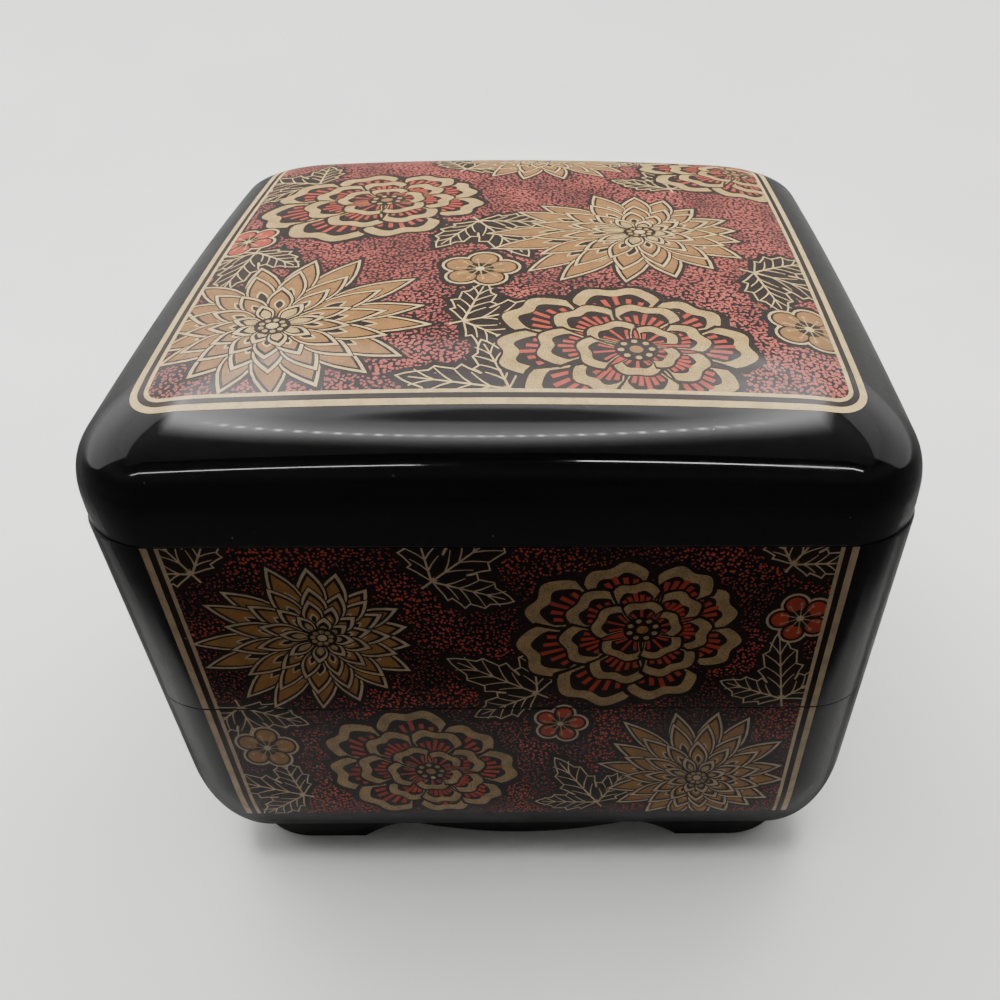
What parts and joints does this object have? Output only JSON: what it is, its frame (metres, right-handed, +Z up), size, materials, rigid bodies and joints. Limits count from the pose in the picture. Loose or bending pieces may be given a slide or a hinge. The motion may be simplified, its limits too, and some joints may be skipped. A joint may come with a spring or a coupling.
{
  "type": "stacking trinket box",
  "caption": "Square lacquered stacking box: nested trays under a crowned lid, on a low cusped foot ring, for trinkets, sweets or incense.",
  "frame": {"origin": "on the ground, under the middle of the box", "axes": "+Z up through the middle of the box, +X to the right and +Y to the back as the picture sees it"},
  "size_m": [0.165, 0.165, 0.1341],
  "materials": {
    "foot_lacquer": "black lacquer, semi-gloss",
    "tray_lacquer": "black high-gloss lacquer with a printed gold, copper and red floral pattern on the sides",
    "lid_lacquer": "black high-gloss lacquer with a printed gold, copper and red floral pattern on the top"
  },
  "bodies": {
    "base": {"lower_tray": "tray_lacquer", "foot_ring": "foot_lacquer"},
    "upper_tray": {"upper_tray": "tray_lacquer"},
    "lid": {"lid": "lid_lacquer"}
  },
  "joints": [
    {"name": "upper_tray_lift", "type": "slide", "parent": "base", "child": "upper_tray", "axis": [0, 0, 1], "range_m": [0, 0.08]},
    {"name": "lid_lift", "type": "slide", "parent": "upper_tray", "child": "lid", "axis": [0, 0, 1], "range_m": [0, 0.07]}
  ]
}
